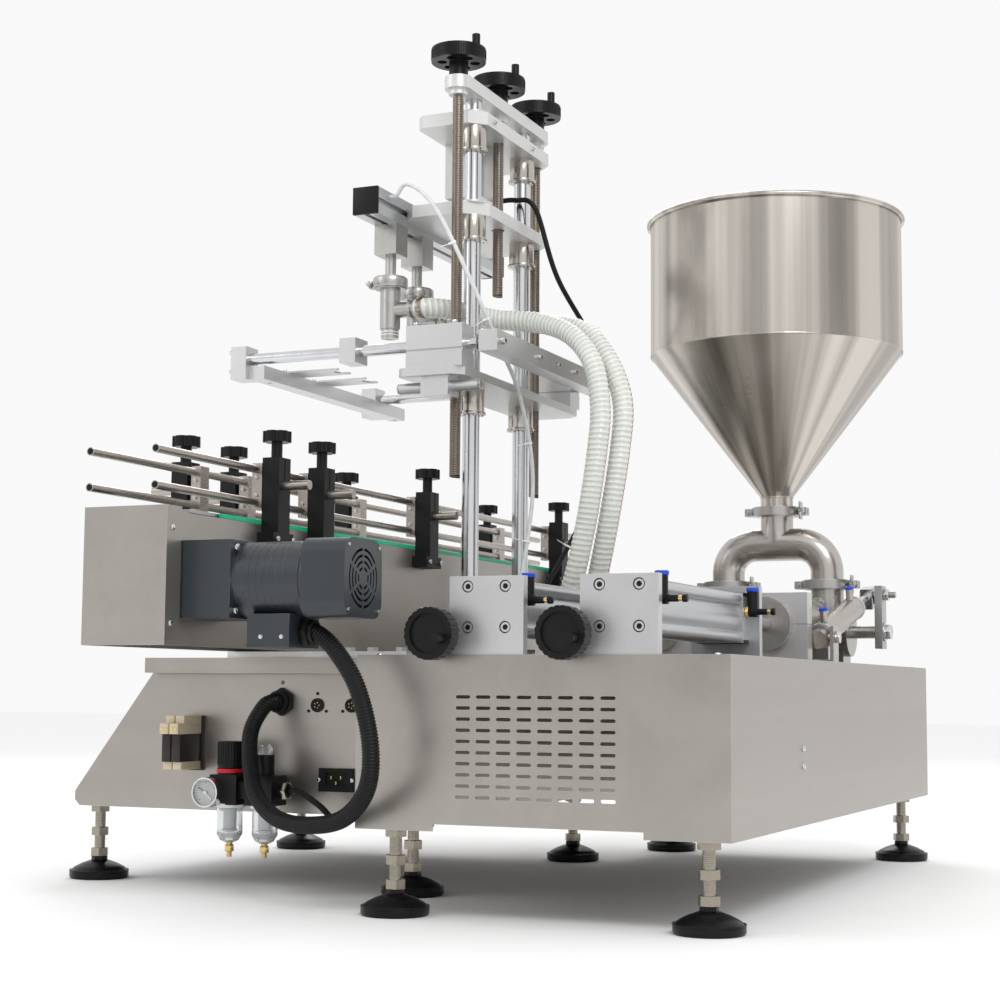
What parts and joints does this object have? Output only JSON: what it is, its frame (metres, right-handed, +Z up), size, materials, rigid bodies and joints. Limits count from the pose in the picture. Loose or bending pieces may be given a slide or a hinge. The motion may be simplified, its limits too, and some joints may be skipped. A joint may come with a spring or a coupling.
{
  "type": "piston liquid filler",
  "caption": "Stainless piston liquid filler with hopper, rotary valve, air cylinders, bottle conveyor and a diving nozzle head on screw-adjusted columns.",
  "frame": {"origin": "on the floor under the middle of the machine's box", "axes": "+Z up, +Y along the conveyor and the dosing lines away from the motor end, +X from the conveyor towards the pump cabinet"},
  "size_m": [1.016, 1.352, 1.2213],
  "materials": {
    "stainless_sheet": "brushed",
    "clamp_steel": "cast and tumbled",
    "aluminium_plate": "fine blasted, clear anodised",
    "ground_steel": "ground and plated",
    "lead_screw_steel": "oiled thread",
    "stainless_tube": "drawn",
    "black_plastic": "moulded",
    "foot_rubber": "satin",
    "motor_paint": "satin",
    "roller_steel": "satin",
    "cylinder_grey": "anodised",
    "wear_green": "extruded",
    "chain_steel": "worn",
    "relay_case": "moulded",
    "gauge_metal": "plated",
    "bowl_clear": "clear",
    "hose_clear": "spiral wound",
    "cord_black": "ribbed",
    "tube_white": "smooth"
  },
  "bodies": {
    "base": {"base_cabinet": "stainless_sheet", "stand_cabinet": "stainless_sheet", "foot_pads": "foot_rubber", "foot_studs": "stainless_tube", "panel_fittings": "black_plastic", "relay_block": "relay_case", "regulator_body": "black_plastic", "filter_bowls": "bowl_clear", "pressure_gauge": "gauge_metal", "conveyor_frame": "stainless_sheet", "wear_strips": "wear_green", "slat_chain": "chain_steel", "gear_motor": "motor_paint", "motor_hose": "cord_black", "rail_posts": "black_plastic", "rail_knobs": "black_plastic", "head_columns": "ground_steel", "top_bar": "aluminium_plate", "mount_plates": "aluminium_plate", "air_cylinders": "cylinder_grey", "air_fittings": "black_plastic", "product_cylinders": "stainless_sheet", "valve_bodies": "stainless_sheet", "hopper": "stainless_sheet", "manifold": "stainless_sheet", "tri_clamps": "clamp_steel", "hose_near": "hose_clear", "hose_far": "hose_clear", "lift_tube": "cord_black", "sensor_tube": "tube_white", "supply_tube": "cord_black"},
    "regulator": {"regulator_knob": "black_plastic"},
    "drive": {"drive_roller": "roller_steel"},
    "idler": {"idle_roller": "roller_steel"},
    "fan": {"motor_fan": "black_plastic"},
    "rail_left": {"left_rails": "stainless_tube"},
    "rail_right": {"right_rails": "stainless_tube"},
    "near_screw": {"screw_near": "lead_screw_steel", "wheel_near": "black_plastic"},
    "middle_screw": {"screw_middle": "lead_screw_steel", "wheel_middle": "black_plastic"},
    "far_screw": {"screw_far": "lead_screw_steel", "wheel_far": "black_plastic"},
    "head_upper": {"upper_plate": "aluminium_plate", "lift_cylinder": "aluminium_plate"},
    "head_dive": {"dive_plate": "aluminium_plate", "nozzle_beam": "aluminium_plate", "nozzle_bodies": "clamp_steel"},
    "shutoff_near": {"plunger_near": "ground_steel"},
    "shutoff_far": {"plunger_far": "ground_steel"},
    "carriage": {"low_carriage": "aluminium_plate"},
    "slide": {"slide_frame": "ground_steel", "bottle_locator": "aluminium_plate"},
    "volume_a": {"volume_wheel_a": "black_plastic"},
    "volume_b": {"volume_wheel_b": "black_plastic"},
    "dose_a": {"piston_a": "ground_steel"},
    "dose_b": {"piston_b": "ground_steel"},
    "lever": {"valve_lever": "clamp_steel"},
    "actuator": {"valve_actuator": "stainless_tube"},
    "actuator_end": {"actuator_rod": "ground_steel"}
  },
  "joints": [
    {"name": "near_wheel_turn", "type": "hinge", "parent": "base", "child": "near_screw", "pos_m": [-0.042, -0.055, 1.14], "axis": [0, 0, 1], "range_deg": [-4321, 1]},
    {"name": "middle_wheel_turn", "type": "hinge", "parent": "base", "child": "middle_screw", "pos_m": [-0.042, 0.091, 1.14], "axis": [0, 0, 1], "range_deg": [-2881, 721]},
    {"name": "far_wheel_turn", "type": "hinge", "parent": "base", "child": "far_screw", "pos_m": [-0.042, 0.237, 1.14], "axis": [0, 0, 1], "range_deg": [-4321, 1]},
    {"name": "head_height", "type": "slide", "parent": "base", "child": "head_upper", "axis": [0, 0, 1], "range_m": [-0.04, 0.01]},
    {"name": "nozzle_dive", "type": "slide", "parent": "head_upper", "child": "head_dive", "axis": [0, 0, 1], "range_m": [-0.03, 0]},
    {"name": "carriage_height", "type": "slide", "parent": "base", "child": "carriage", "axis": [0, 0, 1], "range_m": [-0.06, 0]},
    {"name": "locator_slide", "type": "slide", "parent": "carriage", "child": "slide", "axis": [1, 0, 0], "range_m": [-0.012, 0.03]},
    {"name": "near_shutoff", "type": "slide", "parent": "head_dive", "child": "shutoff_near", "axis": [0, 0, 1], "range_m": [0, 0.012]},
    {"name": "far_shutoff", "type": "slide", "parent": "head_dive", "child": "shutoff_far", "axis": [0, 0, 1], "range_m": [0, 0.012]},
    {"name": "left_rail_adjust", "type": "slide", "parent": "base", "child": "rail_left", "axis": [1, 0, 0], "range_m": [-0.002, 0.02]},
    {"name": "right_rail_adjust", "type": "slide", "parent": "base", "child": "rail_right", "axis": [1, 0, 0], "range_m": [-0.02, 0.002]},
    {"name": "drive_turn", "type": "hinge", "parent": "base", "child": "drive", "pos_m": [-0.172, -0.59, 0.384], "axis": [1, 0, 0], "continuous": true},
    {"name": "idler_turn", "type": "hinge", "parent": "base", "child": "idler", "pos_m": [-0.172, 0.59, 0.384], "axis": [1, 0, 0], "continuous": true},
    {"name": "fan_turn", "type": "hinge", "parent": "base", "child": "fan", "pos_m": [0.06, -0.59, 0.384], "axis": [1, 0, 0], "continuous": true},
    {"name": "volume_turn_a", "type": "hinge", "parent": "base", "child": "volume_a", "pos_m": [0.162, -0.54, 0.323], "axis": [0, 1, 0], "range_deg": [-1800, 1800]},
    {"name": "volume_turn_b", "type": "hinge", "parent": "base", "child": "volume_b", "pos_m": [0.322, -0.54, 0.323], "axis": [0, 1, 0], "range_deg": [-1800, 1800]},
    {"name": "dose_stroke_a", "type": "slide", "parent": "base", "child": "dose_a", "axis": [0, 1, 0], "range_m": [0, 0.17]},
    {"name": "dose_stroke_b", "type": "slide", "parent": "base", "child": "dose_b", "axis": [0, 1, 0], "range_m": [0, 0.17]},
    {"name": "lever_turn", "type": "hinge", "parent": "base", "child": "lever", "pos_m": [0.45, 0.433, 0.354], "axis": [1, 0, 0], "range_deg": [-30, 30]},
    {"name": "actuator_swing", "type": "hinge", "parent": "base", "child": "actuator", "pos_m": [0.44, 0.125, 0.337], "axis": [1, 0, 0], "range_deg": [-2, 2]},
    {"name": "actuator_stroke", "type": "slide", "parent": "actuator", "child": "actuator_end", "axis": [0, 0.9723, 0.2336], "range_m": [-0.03, 0.03]},
    {"name": "regulator_turn", "type": "hinge", "parent": "base", "child": "regulator", "pos_m": [-0.208, -0.37, 0.16], "axis": [0, 0, 1], "range_deg": [-540, 540]}
  ],
  "couplings": [
    {"joint": "near_wheel_turn", "follows": "carriage_height", "rad_per_m": 1256.6},
    {"joint": "far_wheel_turn", "follows": "carriage_height", "rad_per_m": 1256.6},
    {"joint": "middle_wheel_turn", "follows": "head_height", "rad_per_m": 1256.6},
    {"joint": "idler_turn", "follows": "drive_turn", "ratio": 1},
    {"joint": "fan_turn", "follows": "drive_turn", "ratio": 12.5},
    {"joint": "actuator_swing", "follows": "lever_turn", "ratio": 0.03667},
    {"joint": "actuator_stroke", "follows": "lever_turn", "m_per_rad": -0.0532}
  ]
}
